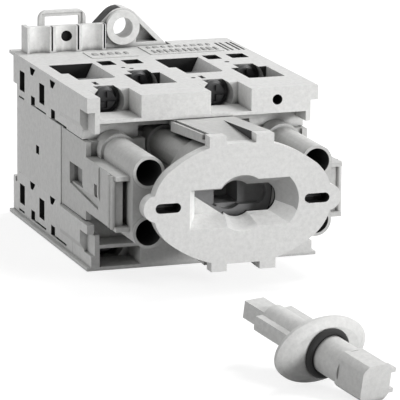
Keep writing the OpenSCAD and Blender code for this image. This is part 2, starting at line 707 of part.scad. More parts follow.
module front_plate() {
    collar = [plate_back - EPS, bell[0]];
    color(PLATE) difference() {
        union() {
            run_y([plate_front, plate_back]) front_outline();
            rod_y(bell_r - 0.3, collar);
        }
        keyhole_funnel();
        run_y([plate_front + 1, bell[0] + 1]) keyhole(0);
        rod_y(hub_disc_r + 0.3, [plate_front + funnel_d + 1, bell[0] + 1]);
        for (s = [-1, 1]) {
            x = s * ear_slot_pitch / 2;
            half_l = (ear_slot_l - ear_slot_w) / 2;
            run_y([plate_front - 1, plate_back + 1]) translate([x, 0]) {
                square([2 * half_l, ear_slot_w], center = true);
                for (t = [-1, 1]) translate([t * half_l, 0]) circle(r = ear_slot_w / 2);
            }
        }
    }
}

module bush(y) {
    color(COPPER) difference() {
        rod_y(5, y);
        rod_y(shaft_r + run_gap, [y[0] - 1, y[1] + 1]);
    }
}

module front_bearing_bush() bush([-inner_front - 5.8, -inner_front + 1.9]);

module rear_bearing_bush() bush([-base_boss - 1.9, -base_t]);

// Cap screw along the depth, its head's front face at y
module cap_screw(x, z, y, tip) {
    difference() {
        union() {
            rod_y(3.6, [y, y + 3], x, z);
            rod_y(tie_r, [y + 3 - EPS, tip], x, z);
        }
        translate([x, y - 1, z]) rotate([-90, 0, 0]) cylinder(r = 1.7, h = 2.6, $fn = 6);
    }
}

module tie_screws() {
    color(STEEL) for (x = [col_x[1], col_x[2]], z = [-tube_z, tube_z])
        cap_screw(x, z, -inner_front - 9, -rail_groove_d - 0.4);
}

module mechanism_screws() {
    color(STEEL) for (x = [col_x[0], col_x[3]], z = [-tube_z, tube_z])
        cap_screw(x, z, -outer_front - 9, -inner_front - 2);
}

module drive_hub() {
    color(DARK) difference() {
        union() {
            rod_y(hub_disc_r, hub_disc);
            rod_y(journal_r, [hub_disc[1] - EPS, star[0] - 1]);
            rod_y(hub_neck_r, [star[0] - 1 - EPS, star[1] + 9]);
        }
        run_y([hub_disc[0] - 1, hub_disc[0] + 3]) keyhole(0.8);
        run_y([hub_disc[0] - 1, star[0] - 3]) square([8.3, 7.3], center = true);
        rod_y(shaft_r + 0.02, [star[0] + 2, star[1] + 15]);
    }
}

module drive_shaft() {
    color(STEEL) rod_y(shaft_r, [star[0] + 2.2, -base_t - 0.3]);
}

module detent_star() {
    color(DARK) difference() {
        rod_y(star_r, star);
        rod_y(hub_neck_r + 0.02, [star[0] - 1, star[1] + 1]);
        for (a = [0:60:300]) rotate([0, a, 0]) rod_y(nose_r + 0.25, [star[0] - 1, star[1] + 1], nose_x, 0);
    }
}

module detent_spring() {
    color(STEEL) both_sides() {
        rod_y(nose_r, star, nose_x, 0);
        slab([nose_x + 0.6, nose_x + 1.5], star, [-3.9, 3.9]);
        above_and_below() slab([nose_x + 0.6, drum_r - 0.3], star, [3.1, 3.9]);
    }
}

module retaining_ring() {
    color(STEEL) difference() {
        rod_y(5.2, [-inner_front - 7.1, -inner_front - 6.1]);
        rod_y(shaft_r + 0.02, [-inner_front - 8, -inner_front - 5]);
        slab([-1, 1], [-inner_front - 8, -inner_front - 5], [0, 6]);
    }
}

// Involute of a tooth flank, turned so that the tooth is centred on the x axis
function involute(base_r, r) = let (t = sqrt(max(0, r * r / (base_r * base_r) - 1))) t * 180 / PI - atan(t);

module pinion_outline() {
    pressure = 20;
    base_r = pinion_r * cos(pressure);
    root_r = pinion_r - ded_h;
    tip_r = pinion_r + add_h;
    slack = 0.12;
    half_tooth = 90 / pinion_teeth + involute(base_r, pinion_r) - slack * 180 / PI / pinion_r;
    radii = [for (k = [0:4]) max(base_r, root_r) + (tip_r - max(base_r, root_r)) * k / 4];
    circle(r = root_r, $fn = 48);
    for (i = [0:pinion_teeth - 1]) rotate(i * 360 / pinion_teeth + 180 / pinion_teeth + 90) polygon(concat(
        [[0, 0], [root_r * cos(half_tooth), -root_r * sin(half_tooth)]],
        [for (r = radii) let (a = half_tooth - involute(base_r, r)) [r * cos(a), -r * sin(a)]],
        [for (k = [4:-1:0]) let (r = radii[k], a = half_tooth - involute(base_r, r)) [r * cos(a), r * sin(a)]],
        [[root_r * cos(half_tooth), root_r * sin(half_tooth)]]));
}

module pinion(i) {
    y = [contact_y(i) + rack_off[0] + 0.2, contact_y(i) + rack_off[1] - 0.2];
    color(STEEL) difference() {
        run_y(y) pinion_outline();
        rod_y(shaft_r + 0.02, [y[0] - 1, y[1] + 1]);
    }
}

module front_pinion() pinion(odd[0]);

module rear_pinion() pinion(even[0]);

// Straight rack teeth below a bar, centred on x = 0
module rack_teeth(y) {
    p = PI * module_m;
    flank = tan(20);
    half = p / 4 - 0.12;
    n = ceil((travel + 4) / p);
    run_y(y) for (k = [-n:n]) translate([k * p, pinion_r]) polygon([[-half - flank * ded_h - 0.1, ded_h],
        [-half + flank * add_h, -add_h], [half - flank * add_h, -add_h], [half + flank * ded_h + 0.1, ded_h]]);
}

module carriage(cols) {
    s = close_dir(cols[0]);
    y = contact_y(cols[0]);
    bar_x = span(col_x[cols[0]] + s * holder_x[s > 0 ? 0 : 1], col_x[cols[1]] + s * holder_x[s > 0 ? 1 : 0]);
    bar_y = [y + rack_off[0], y + rack_off[1]];
    color(DARK) difference() {
        union() {
            slab(bar_x, bar_y, [pinion_r + ded_h - 0.1, carriage_half_z]);
            slab(bar_x, bar_y, [-carriage_half_z, -carriage_half_z + 1.4]);
            rack_teeth(bar_y);
            for (i = cols) {
                x = span(col_x[i] + s * holder_x[0], col_x[i] + s * holder_x[1]);
                slab(x, [y - leg_w / 2, y + leg_w / 2], [-carriage_half_z, carriage_half_z]);
                above_and_below() slab(x, [y, y + rack_off[1]], [carriage_half_z - 1.4, carriage_half_z]);
            }
        }
        for (i = cols) rod_x(1.9, span(col_x[i] + s * 0.2, col_x[i] + s * 3), y, 0);
    }
}

module front_carriage() carriage(odd);

module rear_carriage() carriage(even);

module bridges(cols) {
    s = close_dir(cols[0]);
    y = contact_y(cols[0]);
    color(COPPER) for (i = cols) {
        x = col_x[i] + s * holder_x[1];
        slab(span(x, x + s * bridge_t), [y - 2, y + 2], [-carriage_half_z, carriage_half_z]);
        above_and_below() rod_x(rivet_r, span(x + s * (bridge_t - EPS), x + s * (bridge_t + rivet_h)), y, rivet_z);
    }
}

module front_bridges() bridges(odd);

module rear_bridges() bridges(even);

module bridge_springs(cols) {
    s = close_dir(cols[0]);
    y = contact_y(cols[0]);
    color(STEEL) for (i = cols) translate([col_x[i] + s * 0.25, y, 0]) rotate([0, s * 90, 0]) coil(1.2, 0.15, 1.7, 3);
}

module front_bridge_springs() bridge_springs(odd);

module rear_bridge_springs() bridge_springs(even);

// Strips from the clamp cages into the contact chamber, with a rivet facing the bridge
module fixed_contacts(cols) {
    color(COPPER) above_and_below() for (i = cols) {
        s = close_dir(i);
        x = col_x[i];
        y = head_y(i) + tip_off;
        leg = span(x + s * leg_x, x + s * (leg_x + strip_t));
        slab([x - 4, x + 4], [y, y + strip_t], [seam_z + 0.7, clamp_z + 2.2]);
        slab(span(x - s * 4, x + s * (leg_x + strip_t)), [y, y + strip_t], [seam_z + 0.7, seam_z + 2.3]);
        slab(leg, [contact_y(i) - leg_w / 2, contact_y(i) + leg_w / 2], [leg_low, seam_z + 2.3]);
        rod_x(rivet_r, span(x + s * (leg_x + EPS), x + s * (leg_x - rivet_h)), contact_y(i), rivet_z);
    }
}

module front_fixed_contacts() fixed_contacts(odd);

module rear_fixed_contacts() fixed_contacts(even);

module clamp_screw(i, z = clamp_z) {
    y = head_y(i);
    color(STEEL) translate([col_x[i], y, z]) difference() {
        rotate([-90, 0, 0]) union() {
            rotate_extrude() polygon([[0, 0.5], [1.2, 0], [head_r - 0.9, 0], [head_r, 0.9], [head_r, head_t], [0, head_t]]);
            cylinder(r = clamp_shank_r, h = tip_off - 0.1);
        }
        slab([-head_r - 1, head_r + 1], [-1, 1.2], [-0.65, 0.65]);
        slab([-0.65, 0.65], [-1, 1.2], [-2.8, 2.8]);
    }
}

module clamp_cage(i, z = clamp_z) {
    y = head_y(i) + cage_open;
    hw = cage_w / 2;
    color(STEEL) translate([col_x[i], 0, 0]) difference() {
        slab([-hw, hw], [y, y + cage_l], cage_z);
        slab([-hw + cage_t, hw - cage_t], [y + cage_t, y + cage_l - cage_t], [cage_z[0] - 1, cage_z[1] + 1]);
        rod_y(clamp_shank_r + 0.05, [y - 1, y + cage_t + 1], 0, z);
    }
}

// Loose shaft along Y, flange at the origin; its keyed part has the keyhole's own outline, cut off at the sides
module plug_shaft_body() {
    foot = plug_foot;
    end_y = [-plug_front_l, -plug_front_l + 11];
    difference() {
        union() {
            rod_y(plug_r, [end_y[1], 0]);
            intersection() {
                rod_y(foot + 0.9, [end_y[0], end_y[1] + 1]);
                slab([-5.4, 5.4], [end_y[0] - 1, 0], [-foot, foot]);
            }
            above_and_below() slab([4, 7], [end_y[0], end_y[0] + 4], [2.6, 3.9]);
            run_y([0, plug_key_l]) intersection() {
                circle(r = 7.4);
                keyhole(1);
            }
            slab([-3.6, 3.6], [plug_key_l - EPS, plug_key_l + plug_stub_l], [-2.8, 2.8]);
            scale([flange_half_w / flange_half_h, 1, 1]) rotate([90, 0, 0]) rotate_extrude($fn = 72)
                polygon([[0, -2.4], [4.5, -2.4], [flange_half_h - 0.4, -0.8], [flange_half_h, -0.3],
                    [flange_half_h, flange_rim], [flange_half_h - 0.9, 1.6], [flange_half_h - 2.6, 2.7],
                    [4.9, 3.3], [0, 3.3]]);
        }
        rotate([90, 0, 0]) rotate_extrude() translate([plug_r + o_ring_r, 3.8]) circle(r = o_ring_r + 0.05);
    }
}

module place_plug() {
    translate([plug_x, plug_y, plug_z]) rotate([0, 0, plug_yaw]) rotate([plug_pitch, 0, 0]) children();
}

module plug_shaft() color(PLATE) place_plug() plug_shaft_body();

module shaft_o_ring() {
    color(BLACK) place_plug() rotate([90, 0, 0]) rotate_extrude() translate([plug_r + o_ring_r, 3.8]) circle(r = o_ring_r);
}

base_plate();
rail_latch();
rail_latch_spring();
latch_guide_block();
rear_deck_housing();
front_deck_housing();
top_terminal_block();
bottom_terminal_block();
mechanism_housing();
front_plate();
front_bearing_bush();
rear_bearing_bush();
tie_screws();
mechanism_screws();
drive_hub();
drive_shaft();
detent_star();
detent_spring();
retaining_ring();
front_pinion();
rear_pinion();
front_carriage();
rear_carriage();
front_bridges();
rear_bridges();
front_bridge_springs();
rear_bridge_springs();
front_fixed_contacts();
rear_fixed_contacts();
plug_shaft();
shaft_o_ring();
for (i = [0:3]) {
    clamp_screw(i);
    clamp_cage(i);
    mirror([0, 0, 1]) clamp_screw(i, low_clamp_z);
    mirror([0, 0, 1]) clamp_cage(i, low_clamp_z);
}
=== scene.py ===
"""Looks of a rotary changeover switch for a mounting rail, with its loose plug-in shaft lying in front.

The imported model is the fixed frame: its nodes keep their meshes and places. This script gives them their
finishes and soft edges, adds the fine mouldings that ride on them, and sets the floor, the light and the
camera. Sizes are in millimetres where nothing else is said.
"""
from __future__ import annotations

import logging
import math
from dataclasses import dataclass, field, replace
from enum import Enum
from typing import ClassVar, Sequence

import bmesh
import bpy
from bmesh.types import BMesh, BMFace, BMVert
from bpy.types import Material, MeshPolygon, Node, NodeSocket, NodeTree, Object
from mathutils import Matrix, Vector


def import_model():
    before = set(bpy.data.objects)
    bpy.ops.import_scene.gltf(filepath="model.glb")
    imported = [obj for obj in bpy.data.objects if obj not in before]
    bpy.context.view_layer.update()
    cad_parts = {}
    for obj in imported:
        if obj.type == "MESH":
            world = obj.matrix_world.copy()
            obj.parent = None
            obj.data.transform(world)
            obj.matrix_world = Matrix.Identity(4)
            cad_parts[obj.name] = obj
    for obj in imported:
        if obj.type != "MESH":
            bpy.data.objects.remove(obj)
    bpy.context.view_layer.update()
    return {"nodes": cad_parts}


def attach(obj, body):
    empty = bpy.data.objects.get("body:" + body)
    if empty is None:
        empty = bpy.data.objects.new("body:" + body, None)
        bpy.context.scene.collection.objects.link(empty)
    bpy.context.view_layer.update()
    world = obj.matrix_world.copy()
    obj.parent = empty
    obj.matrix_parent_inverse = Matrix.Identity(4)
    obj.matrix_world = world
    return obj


LOG = logging.getLogger("changeover_switch")
MM = 0.001

Point = Sequence[float]
Span = tuple[float, float]

LEFT: Point = (-1.0, 0.0, 0.0)
RIGHT: Point = (1.0, 0.0, 0.0)
FRONT: Point = (0.0, -1.0, 0.0)
UP: Point = (0.0, 0.0, 1.0)
DOWN: Point = (0.0, 0.0, -1.0)


def mm(*values: float) -> Vector:
    """Turn a point in millimetres into metres."""
    return Vector(values) * MM


def shifted(span: Span, by: float) -> Span:
    """Return a span moved along its axis."""
    return span[0] + by, span[1] + by


def grey(level: float) -> tuple[float, float, float, float]:
    """Return an opaque grey of the given level."""
    return level, level, level, 1.0


class Socket(Enum):
    """Kinds of socket on a shader node group."""

    VALUE = "NodeSocketFloat"
    COLOUR = "NodeSocketColor"


class Body(Enum):
    """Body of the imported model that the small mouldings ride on."""

    HOUSING = "housing"


class Axis(Enum):
    """Axes along which a recess has its mirror image."""

    LEFT_RIGHT = "x"
    ABOVE_BELOW = "z"


class NodeGraph:
    """Small helper that adds and joins nodes in one tree."""

    def __init__(self, tree: NodeTree) -> None:
        """Keep the tree that the nodes go into."""
        self.tree = tree

    def add(self, kind: str, **settings: object) -> Node:
        """Add a node.

        Args:
            kind: Blender's name of the node type.
            settings: Attributes to set on the node.

        Returns:
            The new node.
        """
        node = self.tree.nodes.new(kind)
        for name, value in settings.items():
            setattr(node, name, value)
        return node

    def join(self, source: NodeSocket, target: NodeSocket) -> None:
        """Link two sockets."""
        self.tree.links.new(source, target)

    def feed(self, target: NodeSocket, given: float | NodeSocket) -> None:
        """Set a socket to a number, or link another socket to it.

        Args:
            target: The socket.
            given: The number or the other socket.
        """
        if isinstance(given, NodeSocket):
            self.join(given, target)
        else:
            target.default_value = given

    def math(self, operation: str, *terms: float | NodeSocket, use_clamp: bool = False) -> NodeSocket:
        """Add a math node.

        Args:
            operation: Blender's name of the operation.
            terms: Its inputs in order, each one a number or a socket.
            use_clamp: Whether the result stays between 0 and 1.

        Returns:
            The socket of the result.
        """
        node = self.add("ShaderNodeMath", operation=operation, use_clamp=use_clamp)
        for socket, given in zip(node.inputs, terms):
            self.feed(socket, given)
        return node.outputs[0]

    def noise(
        self, place: NodeSocket, detail: float, scale: float | NodeSocket, roughness: float = 0.5
    ) -> NodeSocket:
        """Add a noise texture.

        Args:
            place: Socket of the place on the piece.
            detail: Number of finer layers.
            scale: Its scale, a number or a socket.
            roughness: How strongly the finer layers show.

        Returns:
            The socket of its value.
        """
        texture = self.add("ShaderNodeTexNoise")
        texture.inputs["Detail"].default_value = detail
        texture.inputs["Roughness"].default_value = roughness
        self.feed(texture.inputs["Scale"], scale)
        self.join(place, texture.inputs["Vector"])
        return texture.outputs["Fac"]

    def map_range(self, value: NodeSocket, source: Span, target: Span) -> NodeSocket:
        """Add a node that maps one range of a value to another.

        Args:
            value: The value.
            source: Its range.
            target: The range that it is mapped to.

        Returns:
            The socket of the result.
        """
        node = self.add("ShaderNodeMapRange")
        node.inputs["From Min"].default_value, node.inputs["From Max"].default_value = source
        node.inputs["To Min"].default_value, node.inputs["To Max"].default_value = target
        self.join(value, node.inputs["Value"])
        return node.outputs["Result"]

    def closeness(self, reach: float, open_share: Span, rays: int) -> NodeSocket:
        """Add a measure of how far other walls close in on a point.

        Args:
            reach: How far off a wall still counts.
            open_share: Shares of open directions at which the measure is 1 and 0.
            rays: Number of directions that are tried.

        Returns:
            The socket of the measure.
        """
        around = self.add("ShaderNodeAmbientOcclusion", samples=rays)
        around.inputs["Distance"].default_value = reach * MM
        return self.map_range(around.outputs["AO"], open_share, (1.0, 0.0))

    def scaled(self, colour: NodeSocket, level: NodeSocket) -> NodeSocket:
        """Add a node that scales a colour.

        Args:
            colour: Socket of the colour.
            level: Socket of what it is scaled by.

        Returns:
            The socket of the result.
        """
        node = self.add("ShaderNodeVectorMath", operation="SCALE")
        self.join(colour, node.inputs[0])
        self.join(level, node.inputs["Scale"])
        return node.outputs["Vector"]


def new_group(name: str, inputs: dict[str, tuple[Socket, object]]) -> NodeGraph:
    """Start a shader node group that puts out Colour, Roughness and Height.

    Args:
        name: Name of the group.
        inputs: Socket name to its kind and default.

    Returns:
        A graph on the group, which holds its input and output nodes.
    """
    tree = bpy.data.node_groups.new(name, "ShaderNodeTree")
    for label, (kind, default) in inputs.items():
        socket = tree.interface.new_socket(name=label, in_out="INPUT", socket_type=kind.value)
        socket.default_value = default
    for label, kind in (("Colour", Socket.COLOUR), ("Roughness", Socket.VALUE), ("Height", Socket.VALUE)):
        tree.interface.new_socket(name=label, in_out="OUTPUT", socket_type=kind.value)
    graph = NodeGraph(tree)
    graph.add("NodeGroupInput", name="in")
    graph.add("NodeGroupOutput", name="out")
    return graph


@dataclass(frozen=True)
class MouldedSurface:
    """Moulded plastic: a fine spark-eroded grain, a mottled tone, and shade where walls close in."""

    grain_detail: float = 3.0
    drift_detail: float = 4.0
    drift_scale: float = 26.0
    drift_share: float = 0.3
    mottle_detail: float = 5.0
    mottle_scale: float = 640.0
    mottle_roughness: float = 0.7
    mean_tone: float = 0.65
    crevice_reach: float = 3.0
    crevice_open: Span = (0.1, 0.72)
    broad_reach: float = 16.0
    broad_open: Span = (0.25, 0.75)
    rays: int = 8
    gloss_share: float = 0.12

    def build(self, name: str) -> NodeTree:
        """Build the group.

        Args:
            name: Name of the group.

        Returns:
            The group.
        """
        inputs = {
            "Colour": (Socket.COLOUR, grey(0.8)),
            "Tone Drift": (Socket.VALUE, 0.04),
            "Grain Scale": (Socket.VALUE, 900.0),
            "Roughness": (Socket.VALUE, 0.5),
            "Crevice Shade": (Socket.VALUE, 0.95),
            "Broad Shade": (Socket.VALUE, 0.18),
        }
        graph = new_group(name, inputs)
        inside, outside = graph.tree.nodes["in"].outputs, graph.tree.nodes["out"].inputs
        place = graph.add("ShaderNodeTexCoord").outputs["Object"]
        grain = graph.noise(place, self.grain_detail, inside["Grain Scale"])
        level = graph.math("MULTIPLY", self.tone(graph, place), self.light_left(graph))
        gloss = graph.math("MULTIPLY_ADD", grain, self.gloss_share, inside["Roughness"])
        graph.join(graph.scaled(inside["Colour"], level), outside["Colour"])
        graph.join(gloss, outside["Roughness"])
        graph.join(grain, outside["Height"])
        return graph.tree

    def tone(self, graph: NodeGraph, place: NodeSocket) -> NodeSocket:
        """Add the drifting and mottled tone.

        Args:
            graph: The group's graph.
            place: Socket of the place on the piece.

        Returns:
            The socket of the tone, which is about 1.
        """
        drift = graph.noise(place, self.drift_detail, self.drift_scale)
        mottle = graph.noise(place, self.mottle_detail, self.mottle_scale, self.mottle_roughness)
        summed = graph.math("MULTIPLY_ADD", drift, self.drift_share, mottle)
        centred = graph.math("SUBTRACT", summed, self.mean_tone)
        return graph.math("MULTIPLY_ADD", centred, graph.tree.nodes["in"].outputs["Tone Drift"], 1.0)

    def light_left(self, graph: NodeGraph) -> NodeSocket:
        """Add the shade of crevices and of walls close by.

        Args:
            graph: The group's graph.

        Returns:
            The socket of the share of light that is left.
        """
        inside = graph.tree.nodes["in"].outputs
        shut = graph.closeness(self.crevice_reach, self.crevice_open, self.rays)
        crevice = graph.math("MULTIPLY", shut, inside["Crevice Shade"])
        closed = graph.closeness(self.broad_reach, self.broad_open, self.rays)
        shade = graph.math("MULTIPLY_ADD", closed, inside["Broad Shade"], crevice)
        return graph.math("SUBTRACT", 1.0, shade, use_clamp=True)


@dataclass(frozen=True)
class MachinedSurface:
    """Plated metal: fine turning marks and small stains."""

    stretch: Point = (1.0, 0.15, 1.0)
    mark_detail: float = 2.0
    blot_detail: float = 5.0
    blot_scale: float = 180.0
    gloss_share: float = 0.2

    def build(self, name: str) -> NodeTree:
        """Build the group.

        Args:
            name: Name of the group.

        Returns:
            The group.
        """
        inputs = {
            "Colour": (Socket.COLOUR, grey(0.5)),
            "Stain": (Socket.VALUE, 0.25),
            "Mark Scale": (Socket.VALUE, 700.0),
            "Roughness": (Socket.VALUE, 0.35),
        }
        graph = new_group(name, inputs)
        inside, outside = graph.tree.nodes["in"].outputs, graph.tree.nodes["out"].inputs
        place = graph.add("ShaderNodeTexCoord").outputs["Object"]
        drawn_out = graph.add("ShaderNodeMapping")
        drawn_out.inputs["Scale"].default_value = self.stretch
        graph.join(place, drawn_out.inputs["Vector"])
        marks = graph.noise(drawn_out.outputs["Vector"], self.mark_detail, inside["Mark Scale"])
        blots = graph.noise(place, self.blot_detail, self.blot_scale)
        clean = graph.math("SUBTRACT", 1.0, graph.math("MULTIPLY", blots, inside["Stain"]))
        gloss = graph.math("MULTIPLY_ADD", blots, self.gloss_share, inside["Roughness"])
        graph.join(graph.scaled(inside["Colour"], clean), outside["Colour"])
        graph.join(gloss, outside["Roughness"])
        graph.join(marks, outside["Height"])
        return graph.tree


class Surface(Enum):
    """Surface effects, each one a shader node group that several finishes share."""

    MOULDED = "moulded_surface"
    MACHINED = "machined_surface"

    def group(self) -> NodeTree:
        """Return this effect's node group, built the first time it is asked for."""
        effect = MouldedSurface() if self is Surface.MOULDED else MachinedSurface()
        return bpy.data.node_groups.get(self.value) or effect.build(self.value)

    @property
    def variation_input(self) -> str:
        """Return the name of the group's socket for how much its tone varies."""
        return "Tone Drift" if self is Surface.MOULDED else "Stain"

    @property
    def scale_input(self) -> str:
        """Return the name of the group's socket for the scale of its fine marks."""
        return "Grain Scale" if self is Surface.MOULDED else "Mark Scale"


@dataclass(frozen=True)
class Finish:
    """One finish: a surface effect with its own values, on one Principled shader."""

    name: str
    slot: str
    surface: Surface
    colour: tuple[float, float, float]
    roughness: float
    metallic: float = 0.0
    specular: float = 0.5
    variation: float = 0.45
    scale: float = 900.0
    bump: float = 0.1
    shades: Span | None = None
    relief: ClassVar[float] = 0.2

    def material(self) -> Material:
        """Return this finish's material, made the first time it is asked for."""
        return bpy.data.materials.get(self.name) or self.build()

    def build(self) -> Material:
        """Make the material from the surface group and the shader.

        Returns:
            The new material.
        """
        material = bpy.data.materials.new(self.name)
        material.use_nodes = True
        graph = NodeGraph(material.node_tree)
        shader = material.node_tree.nodes["Principled BSDF"]
        shader.inputs["Metallic"].default_value = self.metallic
        shader.inputs["Specular IOR Level"].default_value = self.specular
        effect = graph.add("ShaderNodeGroup", node_tree=self.surface.group())
        effect.inputs["Colour"].default_value = (*self.colour, 1.0)
        effect.inputs[self.surface.variation_input].default_value = self.variation
        effect.inputs[self.surface.scale_input].default_value = self.scale
        effect.inputs["Roughness"].default_value = self.roughness
        if self.shades:
            effect.inputs["Crevice Shade"].default_value = self.shades[0]
            effect.inputs["Broad Shade"].default_value = self.shades[1]
        graph.join(effect.outputs["Colour"], shader.inputs["Base Color"])
        graph.join(effect.outputs["Roughness"], shader.inputs["Roughness"])
        bump = graph.add("ShaderNodeBump")
        bump.inputs["Strength"].default_value = self.bump
        bump.inputs["Distance"].default_value = self.relief * MM
        graph.join(effect.outputs["Height"], bump.inputs["Height"])
        graph.join(bump.outputs["Normal"], shader.inputs["Normal"])
        return material


HOUSING = Finish("housing_plastic", "housing_grey", Surface.MOULDED, (0.76, 0.76, 0.75), 0.42)
MECHANISM = Finish("mechanism_plastic", "housing_grey", Surface.MOULDED, (0.6, 0.6, 0.59), 0.42)
DECK = Finish("deck_plastic", "housing_grey", Surface.MOULDED, (0.74, 0.74, 0.73), 0.45)
PLATE = Finish("plate_plastic", "plate_grey", Surface.MOULDED, (0.76, 0.76, 0.75), 0.4)
SHAFT = Finish("shaft_plastic", "plate_grey", Surface.MOULDED, (0.66, 0.66, 0.65), 0.45, variation=0.5)
# Near-black painted shade for the walls of deep recesses, holes, slots and dents, and for the cups behind
# the ear slots.
DEEP_SHADE = Finish("recess_deep", "housing_grey", Surface.MOULDED, (0.02, 0.02, 0.02), 0.7, specular=0.2)
# Near-black painted shade for the walls of the tubes' bores.
BORE_SHADE = Finish("recess_bore", "housing_grey", Surface.MOULDED, (0.05, 0.05, 0.05), 0.7, specular=0.2)
# Dark painted shade for the rib in the cups behind the ear slots.
SLOT_RIB_SHADE = Finish("slot_rib", "dark_plastic", Surface.MOULDED, (0.12, 0.12, 0.12), 0.6, specular=0.2)
# Near-black painted shade for the ear's left flank and the right wall of the roof's pocket.
FLANK_SHADE = Finish("ear_flank", "housing_grey", Surface.MOULDED, (0.045, 0.045, 0.045), 0.6, specular=0.3)
# Painted light: the funnel's lower and left walls are made paler, as if lit.
FUNNEL_PAINTED_LIGHT = Finish("funnel_lit", "plate_grey", Surface.MOULDED, (0.93, 0.93, 0.92), 0.45, shades=(0.3, 0.0))
# Painted shade: the funnel's upper and right walls are made darker, as if in shade.
FUNNEL_PAINTED_SHADE = Finish("funnel_shaded", "plate_grey", Surface.MOULDED, (0.5, 0.5, 0.495), 0.5)
# Mid-grey painted shade for the walls of the screws' recesses and of the front deck's windows.
HALF_SHADE = Finish("recess_half_lit", "housing_grey", Surface.MOULDED, (0.4, 0.4, 0.395), 0.6, specular=0.3)
DARK = Finish("dark_plastic", "dark_plastic", Surface.MOULDED, (0.05, 0.05, 0.052), 0.45)
HUB = Finish("hub_plastic", "dark_plastic", Surface.MOULDED, (0.26, 0.26, 0.262), 0.6, shades=(0.0, 0.0))
STEEL = Finish("plated_steel", "plated_steel", Surface.MACHINED, (0.32, 0.32, 0.33), 0.32, metallic=1.0)
SCREW = Finish("blackened_steel", "plated_steel", Surface.MACHINED, (0.1, 0.1, 0.102), 0.3, metallic=0.85)
COPPER = Finish("contact_copper", "contact_copper", Surface.MACHINED, (0.62, 0.36, 0.22), 0.35, metallic=1.0)
RUBBER = Finish("seal_rubber", "seal_rubber", Surface.MOULDED, (0.01, 0.01, 0.01), 0.65, specular=0.15)
PRINT = Finish("dash_relief", "housing_grey", Surface.MOULDED, (0.42, 0.42, 0.415), 0.5)
MOULDINGS = (HOUSING, MECHANISM, DECK, PLATE)


@dataclass
class SoftEdges:
    """Rounded edges of the mouldings, as modifiers that leave the meshes alone."""

    width: float = 0.18
    angle_deg: float = 34.0
    segments: int = 2
    weld_reach: float = 0.001

    def put_on(self, node: Object) -> None:
        """Weld the imported mesh and round its sharp edges.

        Args:
            node: The node that gets the modifiers.
        """
        weld = node.modifiers.new("weld", "WELD")
        weld.merge_threshold = self.weld_reach * MM
        bevel = node.modifiers.new("soft_edges", "BEVEL")
        bevel.width = self.width * MM
        bevel.segments = self.segments
        bevel.limit_method = "ANGLE"
        bevel.angle_limit = math.radians(self.angle_deg)
        bevel.harden_normals = True


@dataclass(frozen=True)
class Layout:
    """Sizes of the frame that several sub-assemblies go by."""

    columns: tuple[float, ...] = (-29.25, -9.75, 9.75, 29.25)
    half_width: float = 39.5
    skin: float = 0.1

    def side_wall(self, depth: float) -> Span:
        """Return the span in the right side wall from a depth to just under its outer face."""
        return self.half_width - depth, self.half_width - self.skin


@dataclass(frozen=True)
class Recess:
    """Box in which the walls of a node's recess take another finish: painted shade in most recesses, painted
    light on two of the funnel's walls.

    Walls that face the direction `keeps` stay as they are. Where `facing` is given, only walls that face it
    change. Where `radius` is given, only walls that lie within it change, around a middle line from front to
    rear.
    """

    node: str
    x: Span
    y: Span
    z: Span
    finish: Finish = DEEP_SHADE
    keeps: Point | None = None
    facing: Point | None = None
    radius: float = 0.0
    clearance: ClassVar[float] = 0.1
    corner_slack: ClassVar[float] = 0.36
    bore_slack: ClassVar[float] = 0.06
    kept_share: ClassVar[float] = 0.5
    facing_share: ClassVar[float] = 0.25

    @classmethod
    def bore(cls, node: str, mouth: Point, length: float, radius: float, finish: Finish = DEEP_SHADE) -> Recess:
        """Return a round recess that runs from front to rear.

        Args:
            node: Name of the node.
            mouth: Middle of its mouth.
            length: How far back it goes.
            radius: Its radius, to which a clearance is added.
            finish: The finish of its wall.

        Returns:
            The recess.
        """
        x, y, z = mouth
        reach = radius + cls.clearance
        around = (-reach, reach)
        return cls(node, shifted(around, x), (y, y + length), shifted(around, z), finish, radius=reach)

    @property
    def low(self) -> tuple[float, float, float]:
        """Return the corner of the box with the lowest values."""
        return self.x[0], self.y[0], self.z[0]

    def mirrored(self, axis: Axis, node: str | None = None) -> Recess:
        """Return the same recess on the other side, with its directions as they are.

        Args:
            axis: The axis that it is mirrored along.
            node: Name of the node there, where it is another one.

        Returns:
            The mirrored recess.
        """
        low, high = getattr(self, axis.value)
        return replace(self, node=node or self.node, **{axis.value: (-high, -low)})

    def holds(self, node: Object, polygon: MeshPolygon) -> bool:
        """Say whether a face of the node is a wall of this recess.

        Args:
            node: The node.
            polygon: One of its faces.

        Returns:
            True for a wall, and False for a face outside or one that the recess keeps as it is.
        """
        if self.keeps and polygon.normal.dot(Vector(self.keeps)) > self.kept_share:
            return False
        if self.facing and polygon.normal.dot(Vector(self.facing)) < self.facing_share:
            return False
        if not self.within(polygon.center / MM, 0.0):
            return False
        points = [node.data.vertices[index].co / MM for index in polygon.vertices]
        return all(self.within(point, self.corner_slack) and self.in_bore(point) for point in points)

    def within(self, point: Vector, slack: float) -> bool:
        """Say whether a point lies in the box, or outside it by less than the slack."""
        spans = (self.x, self.y, self.z)
        return all(low - slack < value < high + slack for value, (low, high) in zip(point, spans))

    def in_bore(self, point: Vector) -> bool:
        """Say whether a point lies in the bore, as every point does where the recess isn't round."""
        across = math.hypot(point.x - sum(self.x) / 2, point.z - sum(self.z) / 2)
        return not self.radius or across <= self.radius + self.bore_slack


